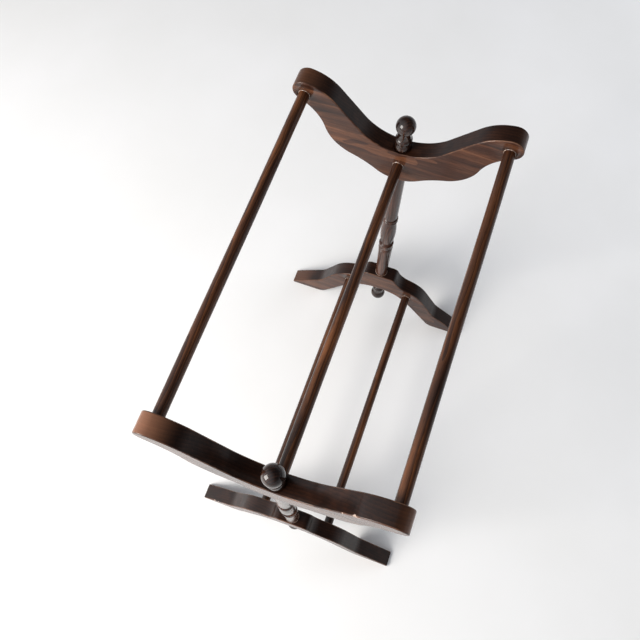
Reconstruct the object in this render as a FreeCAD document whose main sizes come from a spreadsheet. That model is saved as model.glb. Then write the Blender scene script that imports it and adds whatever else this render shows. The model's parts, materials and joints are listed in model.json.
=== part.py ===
"""Quilt rack: two shaped arms and two shaped feet joined by turned posts, with five dowel rails.

The frame: +X runs along the rails from the near end to the far end, +Y to the left, +Z up.
The origin is on the floor, under the middle of the rack. All lengths are millimetres.
"""
import FreeCAD, Part
import math
import os
import Sketcher
from FreeCAD import Placement, Rotation, Vector

# ---------------------------------------------------------------- driving sizes
SIZES = [
    # whole rack
    ("overall_height", 797.0, "floor to the top of the arms' ears"),
    ("post_spacing", 600.0, "between the two post axes"),
    ("board_thickness", 33.0, "arms and feet"),
    ("edge_round", 2.0, "rounded arris along the boards"),
    # arms, measured from the underside of the middle and from the tip
    ("arm_length", 384.0, "tip to tip"),
    ("arm_depth", 77.0, "top to underside in the middle"),
    ("ear_rise", 111.0, "top of the ear above the middle's top"),
    ("ear_radius", 21.5, "round end of the ear"),
    ("crest_radius", 80.0, "long crest behind the ear"),
    ("crest_join", 24.3, "from the tip to where crest and ear meet"),
    ("rise_angle", 49.0, "slope of the straight rise, degrees"),
    ("lobe_radius", 66.0, "lobe under the middle"),
    ("lobe_hollow_radius", 170.0, "shallow hollow beside the lobe"),
    ("belly_radius", 80.5, "belly between the two hollows"),
    ("belly_out", 58.4, "belly centre from the middle"),
    ("belly_up", 113.7, "belly centre above the underside"),
    ("ear_hollow_radius", 90.0, "hollow under the ear"),
    # feet
    ("foot_length", 454.0, "toe to toe"),
    ("block_top", 193.0, "top of the foot's middle block above the floor"),
    ("block_half", 25.5, "half width of the block's flat top"),
    ("block_corner_radius", 15.0, "rounded corner of the block"),
    ("block_hollow_radius", 44.5, "hollow beside the block"),
    ("shoulder_radius", 83.0, "shoulder"),
    ("shoulder_drop", 34.0, "shoulder's crown below the block's top"),
    ("shoulder_in", 181.5, "shoulder centre from the toe"),
    ("flank_angle", 59.0, "slope of the flank, degrees"),
    ("instep_radius", 48.0, "hollow between flank and toe"),
    ("toe_angle", 37.0, "slope of the toe's top, degrees"),
    ("toe_tip", 6.0, "thickness of the toe's end"),
    ("pad_length", 69.5, "flat pad on the floor, with the heel's radius"),
    ("heel_radius", 26.0, "round heel"),
    ("arch_angle", 53.5, "slope of the arch's side, degrees"),
    ("arch_height", 128.0, "top of the arch above the floor"),
    # rails
    ("rail_diameter", 19.0, "all five dowels"),
    ("glue_gap", 0.05, "radial room for glue in every socket and tenon hole"),
    ("rail_chamfer", 1.0, "chamfer on the ends of dowels and tenons"),
    ("side_socket_depth", 18.0, "sockets of side rails and stretchers"),
    ("tenon_web", 0.95, "wood between the centre rail's socket and the tenon's hole"),
    ("socket_end_gap", 0.5, "room behind a dowel's end"),
    ("side_rail_in", 21.0, "side rail's axis from the arm's tip"),
    ("side_rail_down", 27.0, "side rail's axis below the ear's top"),
    ("centre_rail_up", 43.0, "centre rail's axis above the arm's underside"),
    ("stretcher_in", 154.0, "stretcher's axis from the toe"),
    ("stretcher_drop", 70.0, "stretcher's axis below the block's top"),
    # posts, heights above the foot's block
    ("tenon_diameter", 19.0, "both tenons"),
    ("tenon_short", 1.5, "tenon's end below the finial's seat"),
    ("leg_foot_diameter", 27.0, "post on the foot"),
    ("leg_top_diameter", 30.4, "post below the cup"),
    ("groove_width", 3.0, "turned groove"),
    ("groove_radius", 1.7, "section of the groove"),
    ("low_groove_up", 123.5, "bottom of the lower groove"),
    ("line_bead_width", 4.0, "bead between the grooves"),
    ("line_bead_radius", 4.0, "section of that bead"),
    ("cup_diameter", 31.8, "rim of the cup"),
    ("cup_up", 147.0, "rim of the cup"),
    ("cup_lip", 2.5, "height of the cup's sloping lip"),
    ("bulb_foot_diameter", 24.0, "bulb where it leaves the cup"),
    ("bulb_diameter", 32.6, "bulb at its widest"),
    ("bulb_up", 197.0, "bulb's widest place"),
    ("bulb_top_diameter", 25.4, "bulb under the rings"),
    ("ring_up", 242.0, "bottom of the lower ring"),
    ("ring_width", 7.6, "each of the two rings"),
    ("ring_radius", 4.3, "section of a ring"),
    ("ring_root_diameter", 27.0, "bottom of the rings' grooves"),
    ("stem_slope", 3.0, "height of the slope from the rings to the upper stem"),
    ("stem_foot_diameter", 27.8, "upper stem above the rings"),
    ("stem_top_diameter", 30.0, "upper stem under the arm"),
    # ball finials, heights above their seat
    ("seat_diameter", 31.0, "spot face that the finial sits on"),
    ("seat_sink", 0.4, "spot face below the board's curve"),
    ("seat_gap", 0.05, "finial's face off its seat"),
    ("finial_waist_diameter", 25.0, "finial between its beads"),
    ("low_bead_width", 11.0, "bead on the seat"),
    ("low_bead_radius", 11.0, "section of the lower bead"),
    ("cove_width", 7.0, "cove between the beads"),
    ("cove_radius", 6.0, "section of the cove"),
    ("high_bead_width", 11.0, "bead under the neck"),
    ("high_bead_radius", 7.3, "section of the upper bead"),
    ("neck_radius", 28.0, "section of the neck"),
    ("ball_diameter", 34.0, "ball"),
    ("ball_up", 57.0, "ball's centre"),
    # hanger bolts and threaded inserts
    ("bolt_diameter", 7.9, "machine thread, plain here"),
    ("bolt_screw_diameter", 6.4, "wood thread, plain here"),
    ("bolt_screw_length", 25.0, "wood thread"),
    ("bolt_point", 5.0, "cone at the wood thread's end"),
    ("bolt_engagement", 12.5, "machine thread beyond the seat"),
    ("bolt_chamfer", 0.8, "end of the machine thread"),
    ("insert_diameter", 10.6, "threaded insert's outside"),
    ("insert_length", 12.0, "threaded insert"),
    ("insert_setback", 0.5, "insert inside the finial's face"),
    ("running_gap", 0.05, "radial clearance where a finial turns"),
    ("finial_bore_spare", 2.0, "bore beyond the insert"),
]

DOC = FreeCAD.newDocument("quilt_rack")
SHEET = DOC.addObject("Spreadsheet::Sheet", "Sizes")
for row, (alias, size, meaning) in enumerate(SIZES, start=1):
    SHEET.set("A%d" % row, alias)
    SHEET.set("B%d" % row, str(size))
    SHEET.set("C%d" % row, meaning)
    SHEET.setAlias("B%d" % row, alias)
DOC.recompute()

# sizes that follow from the ones above, written once as expressions
S = "Sizes."
ARM_BASE = "(Sizes.overall_height - Sizes.ear_rise - Sizes.arm_depth)"
ARM_SEAT = "(Sizes.arm_depth - Sizes.seat_sink)"
FOOT_SEAT = "(Sizes.arch_height + Sizes.seat_sink)"
HALF_SPACING = "(Sizes.post_spacing / 2)"
HALF_BOARD = "(Sizes.board_thickness / 2)"
ARM_TIP = "(Sizes.arm_length / 2)"
TOE = "(Sizes.foot_length / 2)"
SIDE_RAIL_Y = "(%s - Sizes.side_rail_in)" % ARM_TIP
SIDE_RAIL_UP = "(Sizes.arm_depth + Sizes.ear_rise - Sizes.side_rail_down)"
STRETCHER_Y = "(%s - Sizes.stretcher_in)" % TOE
STRETCHER_Z = "(Sizes.block_top - Sizes.stretcher_drop)"
SOCKET_RADIUS = "(Sizes.rail_diameter / 2 + Sizes.glue_gap)"
TENON_HOLE_RADIUS = "(Sizes.tenon_diameter / 2 + Sizes.glue_gap)"
CENTRE_SOCKET_DEPTH = "(%s - %s - Sizes.tenon_web)" % (HALF_BOARD, TENON_HOLE_RADIUS)
POST_LENGTH = "(%s - Sizes.block_top)" % ARM_BASE
TOP_TENON = "(%s - Sizes.tenon_short)" % ARM_SEAT
FOOT_TENON = "(Sizes.block_top - %s - Sizes.tenon_short)" % FOOT_SEAT
INSERT_RADIUS = "(Sizes.insert_diameter / 2)"
FINIAL_BORE_RADIUS = "(%s + Sizes.running_gap)" % INSERT_RADIUS


def number(expression):
    """The present value of an expression of sheet cells."""
    return float(SHEET.evalExpression(str(expression)))


# ---------------------------------------------------------------- sketch helpers
class Outline:
    """A closed chain of lines and arcs in a sketch, each size bound to the sheet."""

    def __init__(self, sketch):
        self.sketch = sketch
        self.ends = []

    def line(self, start, end, backwards=False):
        """A straight edge; drawn backwards, its angle is measured from the chain's later end."""
        first, last = (end, start) if backwards else (start, end)
        index = self.sketch.addGeometry(Part.LineSegment(Vector(*first, 0), Vector(*last, 0)), False)
        self.ends.append((index, 2, 1) if backwards else (index, 1, 2))
        return index

    def arc(self, centre, start, end):
        """The shorter arc about centre from start to end, whichever way round that is."""
        first = math.atan2(start[1] - centre[1], start[0] - centre[0])
        last = math.atan2(end[1] - centre[1], end[0] - centre[0])
        radius = math.hypot(start[0] - centre[0], start[1] - centre[1])
        turn = math.remainder(last - first, 2 * math.pi)
        circle = Part.Circle(Vector(*centre, 0), Vector(0, 0, 1), radius)
        if turn > 0:
            edge = Part.ArcOfCircle(circle, first, first + turn)
            points = (1, 2)
        else:
            edge = Part.ArcOfCircle(circle, last, last - turn)
            points = (2, 1)
        index = self.sketch.addGeometry(edge, False)
        self.ends.append((index,) + points)
        return index

    def join(self, smooth_at):
        """Join each edge to the next: tangent where smooth_at holds its index, else corner."""
        count = len(self.ends)
        for place in range(count):
            one, other = self.ends[place], self.ends[(place + 1) % count]
            kind = "Tangent" if place in smooth_at else "Coincident"
            self.sketch.addConstraint(Sketcher.Constraint(kind, one[0], one[2], other[0], other[1]))

    def bind(self, kind, target, expression):
        """A dimension of this kind on target, bound to an expression."""
        size = number(expression)
        if kind == "Angle":
            size = math.radians(size)
        where = self.sketch.addConstraint(Sketcher.Constraint(kind, *target, size))
        name = "size_%d" % where
        self.sketch.renameConstraint(where, name)
        unit = " * 1 deg" if kind == "Angle" else " * 1 mm"
        self.sketch.setExpression("Constraints." + name, "(%s)%s" % (expression, unit))

    def place(self, edge, point, across, up):
        """Fix a point of an edge at (across, up) from the sketch's origin."""
        for axis, expression in (("X", across), ("Y", up)):
            if expression is None:
                continue
            if expression == "0":
                line = -2 if axis == "X" else -1
                self.tie("PointOnObject", edge, point, line)
            elif number(expression) >= 0:
                self.bind("Distance" + axis, (-1, 1, edge, point), expression)
            else:
                self.bind("Distance" + axis, (edge, point, -1, 1), "-(%s)" % expression)

    def tie(self, kind, *target):
        """A constraint with no size."""
        self.sketch.addConstraint(Sketcher.Constraint(kind, *target))


def new_body(label):
    """An empty body whose label is its node's name."""
    body = DOC.addObject("PartDesign::Body", label)
    body.Label = label
    return body


def set_place(body, across="0", aside="0", up="0", turn=None):
    """Bind the body's place to the sheet; turn is a fixed rotation."""
    body.Placement = Placement(Vector(0, 0, 0), turn or Rotation())
    for axis, expression in (("x", across), ("y", aside), ("z", up)):
        if expression != "0":
            body.setExpression("Placement.Base." + axis, "(%s) * 1 mm" % expression)


def new_sketch(body, name, role, offset=None):
    """A sketch on one of the body's origin planes, offset along the plane's normal."""
    sketch = body.newObject("Sketcher::SketchObject", name)
    plane = [item for item in body.Origin.OriginFeatures if item.Role == role][0]
    sketch.AttachmentSupport = [(plane, "")]
    sketch.MapMode = "FlatFace"
    if offset is not None:
        sketch.setExpression("AttachmentOffset.Base.z", "(%s) * 1 mm" % offset)
    return sketch


def add_circle(sketch, across, up, radius):
    """A circle at (across, up), with every size bound."""
    outline = Outline(sketch)
    centre = Vector(number(across), number(up), 0)
    index = sketch.addGeometry(Part.Circle(centre, Vector(0, 0, 1), number(radius)), False)
    outline.place(index, 3, across, up)
    outline.bind("Radius", (index,), radius)


def add_pad(body, sketch, length, symmetric=False):
    """Pad a sketch and bind its length."""
    pad = body.newObject("PartDesign::Pad", "Pad")
    pad.Profile = sketch
    pad.SideType = "Symmetric" if symmetric else "One side"
    pad.setExpression("Length", "(%s) * 1 mm" % length)
    return pad


def cut_hole(body, role, offset, across, up, radius, depth=None, along_normal=True):
    """A round hole cut along or against its plane's normal, right through if it has no depth."""
    before = body.Shape.Volume
    sketch = new_sketch(body, "HoleSketch", role, offset)
    add_circle(sketch, across, up, radius)
    pocket = body.newObject("PartDesign::Pocket", "Pocket")
    pocket.Profile = sketch
    pocket.Reversed = along_normal
    if depth is None:
        pocket.Type = "ThroughAll"
    else:
        pocket.Type = "Length"
        pocket.setExpression("Length", "(%s) * 1 mm" % depth)
    DOC.recompute()
    if not body.Shape.Volume < before:
        raise ValueError("%s: a hole removes nothing" % body.Label)
    return pocket


def mirror_half(body, half):
    """Complete a board drawn as its +Y half."""
    mirror = body.newObject("PartDesign::Mirrored", "Mirror")
    mirror.Originals = [half]
    plane = [item for item in body.Origin.OriginFeatures if item.Role == "XZ_Plane"][0]
    mirror.MirrorPlane = (plane, [""])
    body.Tip = mirror
    DOC.recompute()
    return mirror


def round_arrises(body, board):
    """Round every edge of the board's two flat faces."""
    half = number(HALF_BOARD)
    names = []
    for index, edge in enumerate(board.Shape.Edges, start=1):
        ends = [abs(abs(vertex.Point.x) - half) < 1e-4 for vertex in edge.Vertexes]
        same_side = len({vertex.Point.x > 0 for vertex in edge.Vertexes}) == 1
        if ends and all(ends) and same_side:
            names.append("Edge%d" % index)
    fillet = body.newObject("PartDesign::Fillet", "Arrises")
    fillet.Base = (board, names)
    fillet.setExpression("Radius", "Sizes.edge_round * 1 mm")
    body.Tip = fillet
    DOC.recompute()
    return fillet


# ---------------------------------------------------------------- plane geometry
def between(first, first_reach, second, second_reach, side):
    """The point at given distances from two points, left (+1) or right (-1) of the way across."""
    run, rise = second[0] - first[0], second[1] - first[1]
    span = math.hypot(run, rise)
    along = (first_reach ** 2 - second_reach ** 2 + span ** 2) / (2 * span)
    off = math.sqrt(first_reach ** 2 - along ** 2) * side
    return (first[0] + (along * run - off * rise) / span,
            first[1] + (along * rise + off * run) / span)


def toward(centre, reach, target):
    """The point at this distance from centre, in the direction of target."""
    span = math.dist(centre, target)
    return (centre[0] + reach * (target[0] - centre[0]) / span,
            centre[1] + reach * (target[1] - centre[1]) / span)


def polar(centre, reach, degrees):
    """The point at a distance and an angle from centre."""
    angle = math.radians(degrees)
    return (centre[0] + reach * math.cos(angle), centre[1] + reach * math.sin(angle))


def crossing(point, degrees, other, other_degrees):
    """Where two lines, each given by a point and an angle, cross."""
    run, rise = math.cos(math.radians(degrees)), math.sin(math.radians(degrees))
    other_run = math.cos(math.radians(other_degrees))
    other_rise = math.sin(math.radians(other_degrees))
    gap = (other[0] - point[0], other[1] - point[1])
    along = (gap[0] * other_rise - gap[1] * other_run) / (run * other_rise - rise * other_run)
    return (point[0] + along * run, point[1] + along * rise)


# ---------------------------------------------------------------- arms
def draw_arm(sketch):
    """The +Y half of an arm, from the top of the middle round the ear to the lobe below."""
    depth, tip = number(S + "arm_depth"), number(ARM_TIP)
    ear, crest = number(S + "ear_radius"), number(S + "crest_radius")
    slope = number(S + "rise_angle")
    lobe, lobe_hollow = number(S + "lobe_radius"), number(S + "lobe_hollow_radius")
    belly, ear_hollow = number(S + "belly_radius"), number(S + "ear_hollow_radius")

    ear_centre = (tip - ear, depth + number(S + "ear_rise") - ear)
    join_across = ear_centre[0] - (tip - number(S + "crest_join"))
    ear_join = (ear_centre[0] - join_across,
                ear_centre[1] + math.sqrt(ear ** 2 - join_across ** 2))
    crest_centre = toward(ear_join, crest, ear_centre)
    rise_top = polar(crest_centre, crest, 90 + slope)
    # the valley's radius closes the chain between the middle's top and the rise
    turn = math.radians(slope)
    valley = ((depth - rise_top[1] + math.tan(turn) * rise_top[0])
              * math.cos(turn) / (1 - math.cos(turn)))
    valley_centre = (0, depth + valley)
    rise_foot = polar(valley_centre, valley, slope - 90)
    lobe_centre = (0, lobe)
    belly_centre = (number(S + "belly_out"), number(S + "belly_up"))
    ear_hollow_centre = between(belly_centre, belly + ear_hollow, ear_centre, ear + ear_hollow, -1)
    lobe_hollow_centre = between(lobe_centre, lobe + lobe_hollow,
                                 belly_centre, belly + lobe_hollow, -1)
    under_ear = toward(ear_centre, ear, ear_hollow_centre)
    belly_out = toward(belly_centre, belly, ear_hollow_centre)
    belly_in = toward(belly_centre, belly, lobe_hollow_centre)
    lobe_out = toward(lobe_centre, lobe, lobe_hollow_centre)

    chain = Outline(sketch)
    valley_arc = chain.arc(valley_centre, (0, depth), rise_foot)
    rise_line = chain.line(rise_foot, rise_top)
    crest_arc = chain.arc(crest_centre, rise_top, ear_join)
    # the ear turns through more than half a circle, so its arc is given by its two ends
    first = math.atan2(under_ear[1] - ear_centre[1], under_ear[0] - ear_centre[0])
    last = math.atan2(ear_join[1] - ear_centre[1], ear_join[0] - ear_centre[0])
    circle = Part.Circle(Vector(*ear_centre, 0), Vector(0, 0, 1), ear)
    ear_arc = sketch.addGeometry(Part.ArcOfCircle(circle, first, last), False)
    chain.ends.append((ear_arc, 2, 1))
    ear_hollow_arc = chain.arc(ear_hollow_centre, under_ear, belly_out)
    belly_arc = chain.arc(belly_centre, belly_out, belly_in)
    lobe_hollow_arc = chain.arc(lobe_hollow_centre, belly_in, lobe_out)
    lobe_arc = chain.arc(lobe_centre, lobe_out, (0, 0))
    chain.line((0, 0), (0, depth))
    chain.join(smooth_at=range(0, 7))

    chain.place(valley_arc, 3, "0", None)
    chain.place(valley_arc, chain.ends[0][1], "0", S + "arm_depth")
    chain.bind("Angle", (rise_line,), S + "rise_angle")
    chain.bind("Radius", (crest_arc,), S + "crest_radius")
    chain.bind("DistanceX", (-1, 1, crest_arc, chain.ends[2][2]),
               "%s - Sizes.crest_join" % ARM_TIP)
    chain.bind("Radius", (ear_arc,), S + "ear_radius")
    chain.place(ear_arc, 3, "%s - Sizes.ear_radius" % ARM_TIP,
                "Sizes.arm_depth + Sizes.ear_rise - Sizes.ear_radius")
    chain.bind("Radius", (ear_hollow_arc,), S + "ear_hollow_radius")
    chain.bind("Radius", (belly_arc,), S + "belly_radius")
    chain.place(belly_arc, 3, S + "belly_out", S + "belly_up")
    chain.bind("Radius", (lobe_hollow_arc,), S + "lobe_hollow_radius")
    chain.bind("Radius", (lobe_arc,), S + "lobe_radius")
    chain.place(lobe_arc, 3, "0", None)
    chain.place(lobe_arc, chain.ends[7][2], "0", "0")


def make_arm(label, end):
    """An arm, inner face towards -X before it is turned; end is +1 far or -1 near."""
    body = new_body(label)
    sketch = new_sketch(body, "Outline", "YZ_Plane")
    draw_arm(sketch)
    half = add_pad(body, sketch, S + "board_thickness", symmetric=True)
    DOC.recompute()
    round_arrises(body, mirror_half(body, half))
    # tenon hole up through the middle, and the finial's spot face round it
    cut_hole(body, "XY_Plane", "-Sizes.edge_round", "0", "0", TENON_HOLE_RADIUS)
    cut_hole(body, "XY_Plane", ARM_SEAT, "0", "0", S + "seat_diameter / 2")
    # rail sockets in the inner face
    inner_face = "-" + HALF_BOARD
    for aside in (SIDE_RAIL_Y, "-" + SIDE_RAIL_Y):
        cut_hole(body, "YZ_Plane", inner_face, aside, SIDE_RAIL_UP, SOCKET_RADIUS,
                 S + "side_socket_depth")
    cut_hole(body, "YZ_Plane", inner_face, "0", S + "centre_rail_up", SOCKET_RADIUS,
             CENTRE_SOCKET_DEPTH)
    place_end(body, end, ARM_BASE)
    return body


def place_end(body, end, up):
    """Stand a body on the near or far post axis, turned about so its inner face looks inward."""
    turn = Rotation() if end > 0 else Rotation(Vector(0, 0, 1), 180)
    set_place(body, HALF_SPACING if end > 0 else "-" + HALF_SPACING, "0", up, turn)


# ---------------------------------------------------------------- feet
def draw_foot(sketch):
    """The +Y half of a foot, from the arch round the pad and toe to the middle block."""
    arch_top, block_top = number(S + "arch_height"), number(S + "block_top")
    toe, heel = number(TOE), number(S + "heel_radius")
    arch_slope, toe_slope = number(S + "arch_angle"), number(S + "toe_angle")
    flank_slope, instep = number(S + "flank_angle"), number(S + "instep_radius")
    shoulder, corner = number(S + "shoulder_radius"), number(S + "block_corner_radius")
    block_hollow = number(S + "block_hollow_radius")

    heel_centre = (toe - number(S + "pad_length"), heel)
    side_foot = polar(heel_centre, heel, 270 - arch_slope)
    # the arch's radius closes the chain between its top and its side
    turn = math.radians(arch_slope)
    arch = ((side_foot[1] + math.tan(turn) * side_foot[0] - arch_top)
            * math.cos(turn) / (1 - math.cos(turn)))
    arch_centre = (0, arch_top - arch)
    side_top = polar(arch_centre, arch, 90 - arch_slope)
    toe_end = (toe, number(S + "toe_tip"))
    shoulder_centre = (toe - number(S + "shoulder_in"),
                       block_top - number(S + "shoulder_drop") - shoulder)
    flank_top = polar(shoulder_centre, shoulder, 90 - flank_slope)
    corner_point = crossing(flank_top, -flank_slope, toe_end, -toe_slope)
    leg = instep * math.tan(math.radians(flank_slope - toe_slope) / 2)
    flank_foot = polar(corner_point, leg, 180 - flank_slope)
    toe_top = polar(corner_point, leg, -toe_slope)
    instep_centre = polar(flank_foot, instep, 90 - flank_slope)
    corner_centre = (number(S + "block_half"), block_top - corner)
    hollow_centre = between(corner_centre, corner + block_hollow,
                            shoulder_centre, shoulder + block_hollow, 1)
    hollow_low = toward(shoulder_centre, shoulder, hollow_centre)
    hollow_high = toward(corner_centre, corner, hollow_centre)
    block_edge = (corner_centre[0], block_top)

    chain = Outline(sketch)
    arch_arc = chain.arc(arch_centre, (0, arch_top), side_top)
    side_line = chain.line(side_top, side_foot, backwards=True)
    heel_arc = chain.arc(heel_centre, side_foot, (heel_centre[0], 0))
    pad_line = chain.line((heel_centre[0], 0), (toe, 0))
    tip_line = chain.line((toe, 0), toe_end)
    toe_line = chain.line(toe_end, toe_top)
    instep_arc = chain.arc(instep_centre, toe_top, flank_foot)
    flank_line = chain.line(flank_foot, flank_top)
    shoulder_arc = chain.arc(shoulder_centre, flank_top, hollow_low)
    hollow_arc = chain.arc(hollow_centre, hollow_low, hollow_high)
    corner_arc = chain.arc(corner_centre, hollow_high, block_edge)
    top_line = chain.line(block_edge, (0, block_top))
    chain.line((0, block_top), (0, arch_top))
    chain.join(smooth_at=(0, 1, 2, 5, 6, 7, 8, 9, 10))

    chain.place(arch_arc, 3, "0", None)
    chain.place(arch_arc, chain.ends[0][1], "0", S + "arch_height")
    chain.bind("Angle", (side_line,), "180 - Sizes.arch_angle")
    chain.bind("Radius", (heel_arc,), S + "heel_radius")
    chain.place(heel_arc, 3, "%s - Sizes.pad_length" % TOE, None)
    chain.tie("Horizontal", pad_line)
    chain.place(pad_line, 2, TOE, "0")
    chain.tie("Vertical", tip_line)
    chain.bind("DistanceY", (tip_line, 1, tip_line, 2), S + "toe_tip")
    chain.bind("Angle", (toe_line,), "180 - Sizes.toe_angle")
    chain.bind("Radius", (instep_arc,), S + "instep_radius")
    chain.bind("Angle", (flank_line,), "180 - Sizes.flank_angle")
    chain.bind("Radius", (shoulder_arc,), S + "shoulder_radius")
    chain.place(shoulder_arc, 3, "%s - Sizes.shoulder_in" % TOE,
                "Sizes.block_top - Sizes.shoulder_drop - Sizes.shoulder_radius")
    chain.bind("Radius", (hollow_arc,), S + "block_hollow_radius")
    chain.bind("Radius", (corner_arc,), S + "block_corner_radius")
    chain.tie("Horizontal", top_line)
    chain.place(top_line, 2, "0", S + "block_top")
    chain.bind("DistanceX", (-1, 1, top_line, 1), S + "block_half")


def make_foot(label, end):
    """A foot, inner face towards -X before it is turned; end is +1 far or -1 near."""
    body = new_body(label)
    sketch = new_sketch(body, "Outline", "YZ_Plane")
    draw_foot(sketch)
    half = add_pad(body, sketch, S + "board_thickness", symmetric=True)
    DOC.recompute()
    round_arrises(body, mirror_half(body, half))
    # tenon hole down through the block, and the drop finial's spot face round it
    cut_hole(body, "XY_Plane", None, "0", "0", TENON_HOLE_RADIUS)
    cut_hole(body, "XY_Plane", FOOT_SEAT, "0", "0", S + "seat_diameter / 2", along_normal=False)
    for aside in (STRETCHER_Y, "-" + STRETCHER_Y):
        cut_hole(body, "YZ_Plane", "-" + HALF_BOARD, aside, STRETCHER_Z, SOCKET_RADIUS,
                 S + "side_socket_depth")
    place_end(body, end, "0")
    return body


# ---------------------------------------------------------------- turned pieces
def turned_arc_centre(start, end, radius, outward):
    """Centre of a turned bead (outward) or cove between two points of a profile that climbs."""
    middle = ((start[0] + end[0]) / 2, (start[1] + end[1]) / 2)
    half = math.dist(start, end) / 2
    reach = math.sqrt(radius ** 2 - half ** 2)
    run, rise = (end[0] - start[0]) / (2 * half), (end[1] - start[1]) / (2 * half)
    side = -1 if outward else 1
    return (middle[0] + side * reach * rise, middle[1] - side * reach * run)


def turn_profile(body, steps):
    """Revolve a profile about the body's Z axis.

    Each step is (shape, radius, height): where the edge that starts here begins, and what it
    is: "line", ("bead", radius), ("cove", radius), or ("swell", height of its widest place).
    """
    sketch = new_sketch(body, "Profile", "XZ_Plane")
    chain = Outline(sketch)
    points = [(number(step[1]), number(step[2])) for step in steps]
    count = len(steps)
    for place, step in enumerate(steps):
        start, end = points[place], points[(place + 1) % count]
        shape = step[0]
        if shape == "line":
            chain.line(start, end)
            continue
        kind, size = shape
        if kind == "swell":
            level = number(size)
            # the centre is level with the widest place, on the bisector of the chord
            reach = ((start[0] ** 2 + (start[1] - level) ** 2) - (end[0] ** 2 + (end[1] - level) ** 2))
            centre = (reach / (2 * (start[0] - end[0])), level)
        else:
            centre = turned_arc_centre(start, end, number(size), kind == "bead")
        index = chain.arc(centre, start, end)
        if kind == "swell":
            chain.place(index, 3, None, size)
        else:
            chain.bind("Radius", (index,), size)
    chain.join(smooth_at=())
    for place, step in enumerate(steps):
        chain.place(chain.ends[place][0], chain.ends[place][1], step[1], step[2])
    turned = body.newObject("PartDesign::Revolution", "Turning")
    turned.Profile = sketch
    turned.ReferenceAxis = (sketch, ["V_Axis"])
    turned.Angle = 360
    DOC.recompute()
    return turned


def half_of(alias):
    """The radius that goes with a diameter in the sheet."""
    return "Sizes.%s / 2" % alias


def make_post(label, end):
    """A turned post standing on the foot's block, with a tenon and a bolt hole at each end."""
    body = new_body(label)
    chamfer, tenon = S + "rail_chamfer", half_of("tenon_diameter")
    leg, root = half_of("leg_top_diameter"), half_of("ring_root_diameter")
    low = S + "low_groove_up"
    low_top = "%s + Sizes.groove_width" % low
    high = "%s + Sizes.line_bead_width" % low_top
    high_top = "%s + Sizes.groove_width" % high
    rings_top = "Sizes.ring_up + 2 * Sizes.ring_width"
    top_end = "%s + %s" % (POST_LENGTH, TOP_TENON)
    foot_end = "-" + FOOT_TENON
    groove = ("cove", S + "groove_radius")
    ring = ("bead", S + "ring_radius")
    turn_profile(body, [
        ("line", "0", foot_end),
        ("line", "%s - %s" % (tenon, chamfer), foot_end),
        ("line", tenon, "%s + %s" % (foot_end, chamfer)),
        ("line", tenon, "0"),
        ("line", half_of("leg_foot_diameter"), "0"),
        (groove, leg, low),
        (("bead", S + "line_bead_radius"), leg, low_top),
        (groove, leg, high),
        ("line", leg, high_top),
        ("line", half_of("cup_diameter"), S + "cup_up"),
        (("swell", S + "bulb_up"), half_of("bulb_foot_diameter"), "Sizes.cup_up + Sizes.cup_lip"),
        (("swell", S + "bulb_up"), half_of("bulb_diameter"), S + "bulb_up"),
        ("line", half_of("bulb_top_diameter"), S + "ring_up"),
        (ring, root, S + "ring_up"),
        (ring, root, "Sizes.ring_up + Sizes.ring_width"),
        ("line", root, rings_top),
        ("line", half_of("stem_foot_diameter"), "%s + Sizes.stem_slope" % rings_top),
        ("line", half_of("stem_top_diameter"), POST_LENGTH),
        ("line", tenon, POST_LENGTH),
        ("line", tenon, "%s - %s" % (top_end, chamfer)),
        ("line", "%s - %s" % (tenon, chamfer), top_end),
        ("line", "0", top_end),
    ])
    pilot = half_of("bolt_screw_diameter")
    cut_hole(body, "XY_Plane", top_end, "0", "0", pilot, S + "bolt_screw_length", False)
    cut_hole(body, "XY_Plane", foot_end, "0", "0", pilot, S + "bolt_screw_length", True)
    place_end(body, end, S + "block_top")
    return body


def stand_on_seat(body, end, top):
    """Place a piece drawn from its seat up: on the arm, or upside down under the foot."""
    aside = HALF_SPACING if end > 0 else "-" + HALF_SPACING
    if top:
        set_place(body, aside, "0", "%s + %s" % (ARM_BASE, ARM_SEAT))
    else:
        set_place(body, aside, "0", FOOT_SEAT, Rotation(Vector(1, 0, 0), 180))


def make_finial(label, end, top):
    """A ball finial drawn from its seat up, bored for its threaded insert."""
    body = new_body(label)
    waist, face = half_of("finial_waist_diameter"), S + "seat_gap"
    low_bead_top = "%s + Sizes.low_bead_width" % face
    cove_top = "%s + Sizes.cove_width" % low_bead_top
    high_bead_top = "%s + Sizes.high_bead_width" % cove_top
    ball_foot = "Sizes.ball_up - sqrt((%s)^2 - (%s)^2)" % (half_of("ball_diameter"), waist)
    turn_profile(body, [
        ("line", "0", face),
        (("bead", S + "low_bead_radius"), waist, face),
        (("cove", S + "cove_radius"), waist, low_bead_top),
        (("bead", S + "high_bead_radius"), waist, cove_top),
        (("cove", S + "neck_radius"), waist, high_bead_top),
        (("bead", half_of("ball_diameter")), waist, ball_foot),
        ("line", "0", "Sizes.ball_up + %s" % half_of("ball_diameter")),
    ])
    depth = "Sizes.insert_setback + Sizes.insert_length + Sizes.finial_bore_spare"
    cut_hole(body, "XY_Plane", face, "0", "0", FINIAL_BORE_RADIUS, depth)
    stand_on_seat(body, end, top)
    return body


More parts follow.
